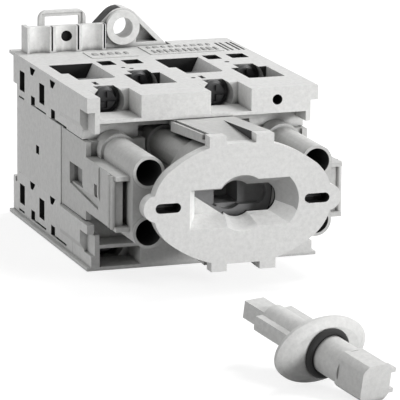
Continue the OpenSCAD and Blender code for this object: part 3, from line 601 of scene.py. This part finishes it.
def skin_rings(shape: BMesh, rings: Sequence[Sequence[BMVert]]) -> list[BMFace]:
    """Join rings of points with faces and close both ends.

    Args:
        shape: The mesh so far.
        rings: Rings with the same number of points, in order.

    Returns:
        The new faces.
    """
    made = []
    for low, high in zip(rings, rings[1:]):
        for k in range(len(low)):
            follow = (k + 1) % len(low)
            made.append(shape.faces.new((low[k], low[follow], high[follow], high[k])))
    made.append(shape.faces.new(rings[-1]))
    made.append(shape.faces.new(tuple(reversed(rings[0]))))
    return made


def new_piece(name: str, shape: BMesh, finishes: Sequence[Finish]) -> Object:
    """Turn a mesh into an object in the scene.

    Args:
        name: Name of the piece.
        shape: Its mesh, which is freed.
        finishes: Its finishes, in the order of the faces' material indices.

    Returns:
        The new object.
    """
    mesh = bpy.data.meshes.new(name)
    shape.to_mesh(mesh)
    shape.free()
    piece = bpy.data.objects.new(name, mesh)
    for finish in finishes:
        piece.data.materials.append(finish.material())
    bpy.context.scene.collection.objects.link(piece)
    return piece


@dataclass
class EmbossedMarks:
    """Rows of small raised dashes on the two bare pads of the top block, riding on the housing.

    A row is given by its left and right end, its place and depth from front to rear, and its number of
    dashes. A level of a dash is given by its height and by how much of the taper it has.
    """

    pad: float
    rows: tuple[tuple[float, float, float, float, int], ...] = (
        (5.2, 30.6, -20.9, 5.2, 11),
        (5.2, 30.6, -13.1, 2.8, 9),
        (-16.8, -2.4, -20.0, 3.4, 5),
    )
    share: float = 0.5
    sway: float = 0.16
    sway_step: float = 2.4
    levels: tuple[Span, ...] = ((0.0, 0.0), (0.4, 0.3), (0.4, 1.0))
    width_taper: float = 0.45
    depth_taper: float = 0.3

    def build(self) -> Object:
        """Make the dashes as one mesh.

        Returns:
            The new piece.
        """
        shape = bmesh.new()
        for left, right, y, depth, count in self.rows:
            pitch = (right - left) / count
            for k in range(count):
                width = pitch * (self.share + self.sway * math.sin(self.sway_step * k + left))
                self.dash(shape, (left + pitch * (k + 0.5), y), width, depth)
        piece = new_piece("pad_dashes", shape, (PRINT,))
        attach(piece, Body.HOUSING.value)
        return piece

    def dash(self, shape: BMesh, middle: Point, width: float, depth: float) -> None:
        """Add one dash with sloped sides to the mesh.

        Args:
            shape: The mesh so far.
            middle: Its middle, to the right and to the rear.
            width: Its width.
            depth: Its depth.
        """
        x, y = middle
        rings = []
        for height, taper in self.levels:
            half_w = width / 2 * (1 - self.width_taper * taper)
            half_d = depth / 2 * (1 - self.depth_taper * taper)
            around = ((-half_w, -half_d), (half_w, -half_d), (half_w, half_d), (-half_w, half_d))
            rings.append([shape.verts.new(mm(x + dx, y + dy, self.pad + height)) for dx, dy in around])
        skin_rings(shape, rings)


@dataclass
class SlotShadeCups:
    """Dark shallow cups with a small dark rib, painted shade put behind the front plate's two ear slots,
    riding on the housing.
    """

    places: tuple[float, ...]
    plate_back: float = -126.7
    half_length: float = 5.1
    half_width: float = 2.3
    steps: int = 10
    depth: float = 0.8
    floor: float = 0.3
    edge: float = 0.3
    rim: float = 0.3
    inset: float = 0.5
    rib_half_length: float = 3.4
    rib_y: Span = (0.1, -0.2)
    rib_z: Span = (-0.9, 0.7)
    rib_bevel: float = 0.3
    rib_tip: Span = (-0.6, 0.4)

    def build(self) -> Object:
        """Make both cups as one mesh.

        Returns:
            The new piece.
        """
        shape = bmesh.new()
        rest = self.plate_back
        back, face = rest + self.depth, rest + self.floor
        levels = (
            (back, self.inset),
            (back - self.edge, 0.0),
            (rest, 0.0),
            (rest, self.rim),
            (face, self.inset),
        )
        for x in self.places:
            outlines = [self.outline(x, y, inset) for y, inset in levels]
            skin_rings(shape, [[shape.verts.new(point) for point in outline] for outline in outlines])
            self.rib(shape, x, face)
        bmesh.ops.recalc_face_normals(shape, faces=shape.faces)
        piece = new_piece("slot_backs", shape, (DEEP_SHADE, SLOT_RIB_SHADE))
        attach(piece, Body.HOUSING.value)
        return piece

    def outline(self, x: float, y: float, inset: float) -> list[Vector]:
        """Return the points of a cup's outline.

        Args:
            x: Middle of the slot.
            y: Depth of the outline.
            inset: How far it lies inside the cup's own outline.

        Returns:
            The points, in order around the slot.
        """
        radius = self.half_width - inset
        straight = self.half_length - self.half_width
        points = []
        for side in (1, -1):
            for k in range(self.steps + 1):
                turn = math.radians(-90 + 180 * k / self.steps)
                across = side * (straight + radius * math.cos(turn))
                points.append(mm(x + across, y, side * radius * math.sin(turn)))
        return points

    def rib(self, shape: BMesh, x: float, face: float) -> None:
        """Add the rib on a cup's floor.

        Args:
            shape: The mesh so far.
            x: Middle of the slot.
            face: Depth of the cup's floor.
        """
        rings = []
        for y, bevel in zip(shifted(self.rib_y, face), (0.0, self.rib_bevel)):
            wide = self.rib_half_length - bevel
            low, high = self.rib_z[0] + bevel, self.rib_z[1] - bevel
            tip = (self.rib_tip[0] * wide, self.rib_tip[1] * high)
            around = ((-wide, low), (wide, low), (wide, high), tip)
            rings.append([shape.verts.new(mm(x + dx, y, z)) for dx, z in around])
        for part in skin_rings(shape, rings):
            part.material_index = 1


@dataclass
class SubAssembly:
    """Nodes of the switch that belong together, with their finishes and their recesses."""

    nodes: dict[str, Object]
    layout: Layout = field(default_factory=Layout)
    edges: SoftEdges = field(default_factory=SoftEdges)

    def finishes(self) -> dict[str, Finish]:
        """Return the finish of each node by its name."""
        raise NotImplementedError

    def recesses(self) -> list[Recess]:
        """Return the recesses whose walls take painted shade and painted light, in the order in which they
        are shaded.
        """
        return []

    def mouldings(self) -> list[Object]:
        """Build the small mouldings that belong here, and return them."""
        return []

    def build(self) -> int:
        """Dress the nodes, paint shade and light on their recesses' walls and build the small mouldings.

        Returns:
            Number of nodes that were dressed.
        """
        finishes = self.finishes()
        for name, finish in finishes.items():
            self.dress(self.nodes[name], finish)
            LOG.info("%s: %s", name, finish.name)
        for recess in self.recesses():
            LOG.info("%s: %d faces of a recess at %s", recess.node, self.shade(recess), recess.low)
        for piece in self.mouldings():
            LOG.info("%s: built", piece.name)
        return len(finishes)

    def dress(self, node: Object, finish: Finish) -> None:
        """Give one node its finish, and soft edges where it is one of the large mouldings.

        Args:
            node: The node.
            finish: Its finish.
        """
        node.data.materials.clear()
        node.data.materials.append(finish.material())
        for polygon in node.data.polygons:
            polygon.material_index = 0
        if finish in MOULDINGS:
            self.edges.put_on(node)

    def shade(self, recess: Recess) -> int:
        """Give the walls of one recess its finish, the painted shade or painted light of that recess.

        Args:
            recess: The recess.

        Returns:
            Number of faces that took it.
        """
        node = self.nodes[recess.node]
        material = recess.finish.material()
        slots = node.data.materials
        if material.name not in slots:
            slots.append(material)
        index = slots.find(material.name)
        walls = [polygon for polygon in node.data.polygons if recess.holds(node, polygon)]
        for polygon in walls:
            polygon.material_index = index
        return len(walls)


@dataclass
class BaseAndLatch(SubAssembly):
    """Base plate with its ear, the rail latch with its spring, and the scalloped guide block."""

    guide_hole: Point = (-22.35, -10.35, 34.9)
    guide_hole_length: float = 9.0
    guide_hole_radius: float = 1.9
    flank_x: Span = (-24.0, -1.3)
    flank_y: Span = (-7.5, 0.1)
    flank_z: Span = (20.0, 44.0)
    flank_facing: Point = (-1.0, 0.0, 0.2)

    def finishes(self) -> dict[str, Finish]:
        """Return the finish of each node by its name."""
        housing = dict.fromkeys(("base_plate", "rail_latch", "latch_guide_block"), HOUSING)
        return {**housing, "rail_latch_spring": STEEL}

    def recesses(self) -> list[Recess]:
        """List the recesses of these nodes.

        Returns:
            The guide block's hole and the ear's left flank, both in painted shade.
        """
        hole = (self.guide_hole, self.guide_hole_length, self.guide_hole_radius)
        flank = (self.flank_x, self.flank_y, self.flank_z)
        return [
            Recess.bore("latch_guide_block", *hole),
            Recess("base_plate", *flank, FLANK_SHADE, facing=self.flank_facing),
        ]


@dataclass
class TerminalBlocks(SubAssembly):
    """Upper and lower terminal block with their clamps and contacts, and the dashes on the upper one's pads.

    The spans of a terminal's spaces go from its column's middle and from the back of its space or entry.
    Those of the side pattern go from the start of its row and from the seam.
    """

    upper: str = "top_terminal_block"
    lower: str = "bottom_terminal_block"
    top: float = 29.5
    notch_back: float = -78.5
    stagger: float = 23.0
    screw_wall_x: Span = (-5.8, 5.8)
    screw_wall_y: Span = (-0.2, 8.0)
    pocket_x: Span = (-6.7, 6.7)
    pocket_y: Span = (-18.7, 0.1)
    wire_slots_x: tuple[Span, ...] = ((-8.7, -3.3), (0.3, 6.7))
    wire_slots_y: Span = (17.3, 25.2)
    entry_offset: float = 18.5
    entry_x: Span = (-7.4, 9.4)
    entry_y: Span = (-0.2, 27.2)
    wall: float = 4.0
    seams: Span = (13.6, -27.4)
    pattern_start: float = -11.0
    pattern_pitch: float = -24.0
    pattern_rows: int = 2
    pattern: tuple[tuple[Span, Span], ...] = (
        ((-3.1, 3.1), (2.8, 10.0)),
        ((-16.1, -9.4), (10.7, 13.5)),
        ((-15.7, -10.9), (-0.2, 3.5)),
        ((-29.1, -15.4), (-0.2, 0.7)),
    )
    seam_gap_y: Span = (-13.7, -1.5)
    seam_gap_z: Span = (-0.2, 0.7)
    front_hole: Point = (26.3, -91.9, 25.3)
    front_hole_length: float = 9.0
    front_hole_radius: float = 1.75
    dents: tuple[Span, ...] = ((-12.6, -43.5), (-10.4, -46.0), (4.6, -68.0), (25.4, -44.0))
    dent_reach: Span = (-1.0, 1.0)
    dent_floor: float = 28.0
    pad_rise: float = 0.28

    @property
    def below_top(self) -> float:
        """Return the height just under the upper block's top face."""
        return self.top - self.layout.skin

    def finishes(self) -> dict[str, Finish]:
        """Choose the finishes of the blocks, their contacts and their clamps.

        Returns:
            The finish of each node by its name.
        """
        blocks = dict.fromkeys((self.upper, self.lower), HOUSING)
        contacts = dict.fromkeys(("front_fixed_contacts", "rear_fixed_contacts"), COPPER)
        clamps = (name for name in self.nodes if "clamp_screw" in name or "clamp_cage" in name)
        return {**blocks, **contacts, **dict.fromkeys(clamps, SCREW)}

    def recesses(self) -> list[Recess]:
        """List the recesses of both blocks.

        Returns:
            The terminals' spaces, the side walls' gaps, the front hole and the top face's dents.
        """
        spaces = self.terminal_spaces()
        spaces += [space.mirrored(Axis.ABOVE_BELOW, self.lower) for space in spaces]
        gaps = self.side_gaps()
        gaps += [gap.mirrored(Axis.LEFT_RIGHT) for gap in gaps]
        return spaces + gaps + self.small_holes()

    def terminal_spaces(self) -> list[Recess]:
        """List the deep spaces of the upper block's terminals, whose walls take painted shade.

        Returns:
            One recess for each space.
        """
        found: list[Recess] = []
        height = (0.0, self.below_top)
        entry = shifted(self.entry_y, self.notch_back + self.entry_offset)
        for column, x in enumerate(self.layout.columns):
            set_back = column % 2
            back = self.notch_back + set_back * self.stagger
            screw_wall = (shifted(self.screw_wall_x, x), shifted(self.screw_wall_y, back), height)
            found.append(Recess(self.upper, *screw_wall, HALF_SHADE))
            if set_back:
                pocket = (shifted(self.pocket_x, x), shifted(self.pocket_y, back), height)
                found.append(Recess(self.upper, *pocket, keeps=LEFT))
                depth = shifted(self.wire_slots_y, back)
                found += [Recess(self.upper, shifted(slot, x), depth, height) for slot in self.wire_slots_x]
            else:
                found.append(Recess(self.upper, shifted(self.entry_x, x), entry, height, keeps=LEFT))
        return found

    def side_gaps(self) -> list[Recess]:
        """List the slots, triangles and hook gaps of both blocks' right side walls, whose walls take painted
        shade.

        Returns:
            One recess for each gap.
        """
        found: list[Recess] = []
        depth = self.layout.side_wall(self.wall)
        for block, seam in zip((self.upper, self.lower), self.seams):
            for row in range(self.pattern_rows):
                start = self.pattern_start + self.pattern_pitch * row
                for along, height in self.pattern:
                    found.append(Recess(block, depth, shifted(along, start), shifted(height, seam)))
            found.append(Recess(block, depth, self.seam_gap_y, shifted(self.seam_gap_z, seam)))
        return found

    def small_holes(self) -> list[Recess]:
        """List the small holes of the upper block, whose walls take painted shade.

        Returns:
            The hole in the front face and the dents of the top face.
        """
        found = [Recess.bore(self.upper, self.front_hole, self.front_hole_length, self.front_hole_radius)]
        reach, height = self.dent_reach, (self.dent_floor, self.below_top)
        found += [Recess(self.upper, shifted(reach, x), shifted(reach, y), height) for x, y in self.dents]
        return found

    def mouldings(self) -> list[Object]:
        """Build the raised dashes on the bare pads, and return them."""
        return [EmbossedMarks(self.top + self.pad_rise).build()]


@dataclass
class ContactDecks(SubAssembly):
    """Rear and front contact deck with the carriages, bridges and springs inside."""

    slot_depth: float = 4.0
    slot_y: Span = (-31.7, -27.9)
    slot_z: Span = (-2.4, 0.7)
    window_depth: float = 5.0
    window_y: Span = (-78.7, -67.5)
    window_z: Span = (-3.7, 3.3)

    def finishes(self) -> dict[str, Finish]:
        """Choose the finishes of both decks, which are alike.

        Returns:
            The finish of each node by its name.
        """
        found: dict[str, Finish] = {}
        for deck in ("rear", "front"):
            found[f"{deck}_deck_housing"] = DECK
            found[f"{deck}_carriage"] = DARK
            found[f"{deck}_bridges"] = COPPER
            found[f"{deck}_bridge_springs"] = STEEL
        return found

    def recesses(self) -> list[Recess]:
        """List the recesses of both decks.

        Returns:
            The rear deck's slot in painted shade and the front deck's window in mid painted shade, on both
            sides.
        """
        slot = (self.layout.side_wall(self.slot_depth), self.slot_y, self.slot_z)
        window = (self.layout.side_wall(self.window_depth), self.window_y, self.window_z)
        found = [Recess("rear_deck_housing", *slot), Recess("front_deck_housing", *window, HALF_SHADE)]
        return found + [recess.mirrored(Axis.LEFT_RIGHT) for recess in found]


@dataclass
class MechanismHousing(SubAssembly):
    """Housing of the mechanism with its eight tubes, roof and cheeks, and the screws in the tubes."""

    node: str = "mechanism_housing"
    snap_depth: float = 4.0
    snap_y: Span = (-99.5, -96.1)
    snap_z: Span = (-2.8, 1.7)
    tube_front: float = -121.6
    inner_tube_front: float = -108.0
    tube_heights: Span = (-10.0, 10.0)
    bore_radius: float = 4.4
    bore_start: float = 0.05
    bore_length: float = 39.95
    roof_pocket_x: Span = (4.1, 4.5)
    roof_pocket_y: Span = (-127.5, -97.0)
    roof_pocket_z: Span = (16.0, 24.0)

    def finishes(self) -> dict[str, Finish]:
        """Return the finish of each node by its name."""
        return {self.node: MECHANISM, "tie_screws": SCREW, "mechanism_screws": SCREW}

    def recesses(self) -> list[Recess]:
        """List the recesses of the housing.

        Returns:
            The windows between the cheeks, the tubes' bores and the side of the roof's pocket, all in
            painted shade.
        """
        snap = Recess(self.node, self.layout.side_wall(self.snap_depth), self.snap_y, self.snap_z)
        found = [snap, snap.mirrored(Axis.LEFT_RIGHT)]
        last = len(self.layout.columns) - 1
        for column, x in enumerate(self.layout.columns):
            front = self.inner_tube_front if 0 < column < last else self.tube_front
            for z in self.tube_heights:
                mouth = (x, front + self.bore_start, z)
                found.append(Recess.bore(self.node, mouth, self.bore_length, self.bore_radius, BORE_SHADE))
        pocket = (self.roof_pocket_x, self.roof_pocket_y, self.roof_pocket_z)
        return found + [Recess(self.node, *pocket, FLANK_SHADE, facing=LEFT)]


@dataclass
class FrontPlate(SubAssembly):
    """Oval front plate with its keyhole funnel, and the dark cups of painted shade behind its two ear slots.
    """

    node: str = "front_plate"
    slot_places: tuple[float, ...] = (-25.8, 25.8)
    slot_x: Span = (-4.5, 4.5)
    slot_y: Span = (-140.0, -126.8)
    slot_z: Span = (-1.7, 1.7)
    funnel_x: Span = (-20.0, 24.0)
    funnel_y: Span = (-131.3, -123.5)
    right_wall_x: Span = (9.0, 24.0)
    left_wall_x: Span = (-20.0, -8.0)
    side_walls_z: Span = (-9.0, 9.0)
    upper_wall_z: Span = (1.0, 12.0)
    lower_wall_z: Span = (-12.0, 1.0)
    throat_x: Span = (-19.0, 19.0)
    throat_y: Span = (-123.9, -122.5)
    throat_z: Span = (-8.0, 8.0)

    def finishes(self) -> dict[str, Finish]:
        """Return the finish of each node by its name."""
        return {self.node: PLATE}

    def recesses(self) -> list[Recess]:
        """List the recesses of the plate.

        Returns:
            The two slots and the throat in painted shade, and the funnel's walls with painted light on the
            lower and left ones and painted shade on the upper and right ones.
        """
        node, depth = self.node, self.funnel_y
        slots = [Recess(node, shifted(self.slot_x, x), self.slot_y, self.slot_z) for x in self.slot_places]
        return slots + [
            Recess(node, self.right_wall_x, depth, self.side_walls_z, FUNNEL_PAINTED_SHADE, facing=LEFT),
            Recess(node, self.funnel_x, depth, self.upper_wall_z, FUNNEL_PAINTED_SHADE, facing=DOWN),
            Recess(node, self.funnel_x, depth, self.lower_wall_z, FUNNEL_PAINTED_LIGHT, facing=UP),
            Recess(node, self.left_wall_x, depth, self.side_walls_z, FUNNEL_PAINTED_LIGHT, facing=RIGHT),
            Recess(node, self.throat_x, self.throat_y, self.throat_z, keeps=FRONT),
        ]

    def mouldings(self) -> list[Object]:
        """Build the cups of painted shade behind the ear slots, and return them."""
        return [SlotShadeCups(self.slot_places).build()]


@dataclass
class Drive(SubAssembly):
    """Turning drive: hub, shaft, detent, pinions, bushes and ring."""

    def finishes(self) -> dict[str, Finish]:
        """Choose the finishes of the turning parts.

        Returns:
            The finish of each node by its name.
        """
        steel = ("drive_shaft", "detent_spring", "retaining_ring", "front_pinion", "rear_pinion")
        bushes = ("front_bearing_bush", "rear_bearing_bush")
        found = {"drive_hub": HUB, "detent_star": DARK}
        return {**found, **dict.fromkeys(steel, STEEL), **dict.fromkeys(bushes, COPPER)}


@dataclass
class PlugShaft(SubAssembly):
    """Loose plug-in shaft with its seal."""

    def finishes(self) -> dict[str, Finish]:
        """Return the finish of each node by its name."""
        return {"plug_shaft": SHAFT, "shaft_o_ring": RUBBER}


@dataclass(frozen=True)
class Lamp:
    """One square area lamp: its name, its place and side in metres, and its power in watts."""

    name: str
    place: Point
    side: float
    power: float

    def hang(self, target: Vector) -> None:
        """Hang the lamp and point it at the target.

        Args:
            target: The point that it shines on, in metres.
        """
        place = Vector(self.place)
        data = bpy.data.lights.new(self.name, "AREA")
        data.size = self.side
        data.energy = self.power
        lamp = bpy.data.objects.new(self.name, data)
        lamp.location = place
        lamp.rotation_mode = "QUATERNION"
        lamp.rotation_quaternion = (target - place).to_track_quat("-Z", "Y")
        bpy.context.scene.collection.objects.link(lamp)


@dataclass
class Studio:
    """Floor, lamps, world and camera."""

    floor_z: float = -29.5
    floor_gap: float = 0.2
    floor_side_m: float = 12.0
    floor_tone: float = 0.42
    floor_roughness: float = 0.9
    floor_glow: float = 0.78
    floor_bounce: float = 0.35
    world_heights: Span = (-0.3, 0.8)
    world_levels: Span = (0.16, 0.36)
    azimuth_deg: float = -19.0
    elevation_deg: float = 12.45
    roll_deg: float = 0.418
    target: Point = (0.0, -60.0, 0.0)
    distance: float = 1188.6
    focal_px: float = 3444.9
    centre_px: Span = (172.47, 158.08)
    frame_px: float = 400.0
    sensor: float = 36.0
    clip_m: Span = (0.01, 20.0)
    lamps: tuple[Lamp, ...] = (
        Lamp("key", (1.2, -1.4, 0.4), 0.5, 23.0),
        Lamp("top", (0.7, 0.2, 1.25), 0.5, 9.5),
        Lamp("fill", (-1.3, -0.4, 0.2), 0.7, 4.2),
    )

    def build(self) -> None:
        """Make the floor, the world, the lamps and the camera."""
        self.make_floor()
        self.make_world()
        for lamp in self.lamps:
            lamp.hang(mm(*self.target))
        self.make_camera()

    def make_floor(self) -> None:
        """Lay a large pale floor under the switch."""
        height = (self.floor_z - self.floor_gap) * MM
        bpy.ops.mesh.primitive_plane_add(size=self.floor_side_m, location=(0, 0, height))
        floor = bpy.context.active_object
        floor.name = "floor"
        floor.data.materials.append(self.floor_material())

    def floor_material(self) -> Material:
        """Make a floor that is seen as near white, with the object's soft shadow on it.

        Returns:
            The new material.
        """
        material = bpy.data.materials.new("pale_floor")
        material.use_nodes = True
        graph = NodeGraph(material.node_tree)
        shader = material.node_tree.nodes["Principled BSDF"]
        shader.inputs["Base Color"].default_value = grey(self.floor_tone)
        shader.inputs["Roughness"].default_value = self.floor_roughness
        shader.inputs["Specular IOR Level"].default_value = 0.0
        glow = graph.add("ShaderNodeEmission")
        glow.inputs["Color"].default_value = grey(1.0)
        glow.inputs["Strength"].default_value = self.floor_glow
        both = graph.add("ShaderNodeAddShader")
        graph.join(shader.outputs["BSDF"], both.inputs[0])
        graph.join(glow.outputs["Emission"], both.inputs[1])
        bounce = graph.add("ShaderNodeBsdfDiffuse")
        bounce.inputs["Color"].default_value = grey(self.floor_bounce)
        mix = graph.add("ShaderNodeMixShader")
        graph.join(self.seen_rays(graph), mix.inputs["Fac"])
        graph.join(bounce.outputs["BSDF"], mix.inputs[1])
        graph.join(both.outputs["Shader"], mix.inputs[2])
        graph.join(mix.outputs["Shader"], material.node_tree.nodes["Material Output"].inputs["Surface"])
        return material

    @staticmethod
    def seen_rays(graph: NodeGraph) -> NodeSocket:
        """Join the rays that see the white surround: the camera's, and those mirrored or passed on to it.

        Args:
            graph: The material's or world's graph.

        Returns:
            The socket that is 1 for those rays.
        """
        path = graph.add("ShaderNodeLightPath")
        seen = path.outputs["Is Camera Ray"]
        for label in ("Is Glossy Ray", "Is Transmission Ray"):
            seen = graph.math("MAXIMUM", seen, path.outputs[label])
        return seen

    def make_world(self) -> None:
        """Set a plain white surround that lights the object softly, and more from above than from below."""
        world = bpy.data.worlds.new("studio")
        bpy.context.scene.world = world
        world.use_nodes = True
        graph = NodeGraph(world.node_tree)
        back = world.node_tree.nodes["Background"]
        back.inputs["Color"].default_value = grey(1.0)
        parts = graph.add("ShaderNodeSeparateXYZ")
        graph.join(graph.add("ShaderNodeTexCoord").outputs["Generated"], parts.inputs["Vector"])
        glow = graph.map_range(parts.outputs["Z"], self.world_heights, self.world_levels)
        strength = graph.add("ShaderNodeMix", data_type="FLOAT")
        graph.join(self.seen_rays(graph), strength.inputs["Factor"])
        graph.join(glow, strength.inputs["A"])
        strength.inputs["B"].default_value = 1.0
        graph.join(strength.outputs["Result"], back.inputs["Strength"])

    def make_camera(self) -> None:
        """Put the camera at the photograph's viewing angle."""
        turns = (self.azimuth_deg, self.elevation_deg, self.roll_deg)
        azimuth, elevation, roll = (math.radians(turn) for turn in turns)
        level = math.cos(elevation)
        back = Vector((math.sin(azimuth) * level, -math.cos(azimuth) * level, math.sin(elevation)))
        right = Vector((math.cos(azimuth), math.sin(azimuth), 0.0))
        up = back.cross(right)
        across = right * math.cos(roll) + up * math.sin(roll)
        upward = -right * math.sin(roll) + up * math.cos(roll)
        data = bpy.data.cameras.new("camera")
        data.sensor_width = self.sensor
        data.lens = self.focal_px / self.frame_px * self.sensor
        data.shift_x = 0.5 - self.centre_px[0] / self.frame_px
        data.shift_y = self.centre_px[1] / self.frame_px - 0.5
        data.clip_start, data.clip_end = self.clip_m
        camera = bpy.data.objects.new("camera", data)
        turn = Matrix((across, upward, back)).transposed().to_4x4()
        camera.matrix_world = Matrix.Translation(mm(*self.target) + back * self.distance * MM) @ turn
        bpy.context.scene.collection.objects.link(camera)
        bpy.context.scene.camera = camera


SUB_ASSEMBLIES: tuple[type[SubAssembly], ...] = (
    BaseAndLatch,
    TerminalBlocks,
    ContactDecks,
    MechanismHousing,
    FrontPlate,
    Drive,
    PlugShaft,
)


def main() -> None:
    """Load the frame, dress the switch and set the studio."""
    logging.basicConfig(level=logging.INFO, format="%(name)s: %(message)s")
    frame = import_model()
    dressed = sum(sub_assembly(frame["nodes"]).build() for sub_assembly in SUB_ASSEMBLIES)
    LOG.info("%d of %d nodes are dressed", dressed, len(frame["nodes"]))
    Studio().build()
    bpy.context.scene.view_settings.view_transform = "Standard"


if __name__ == "__main__":
    main()
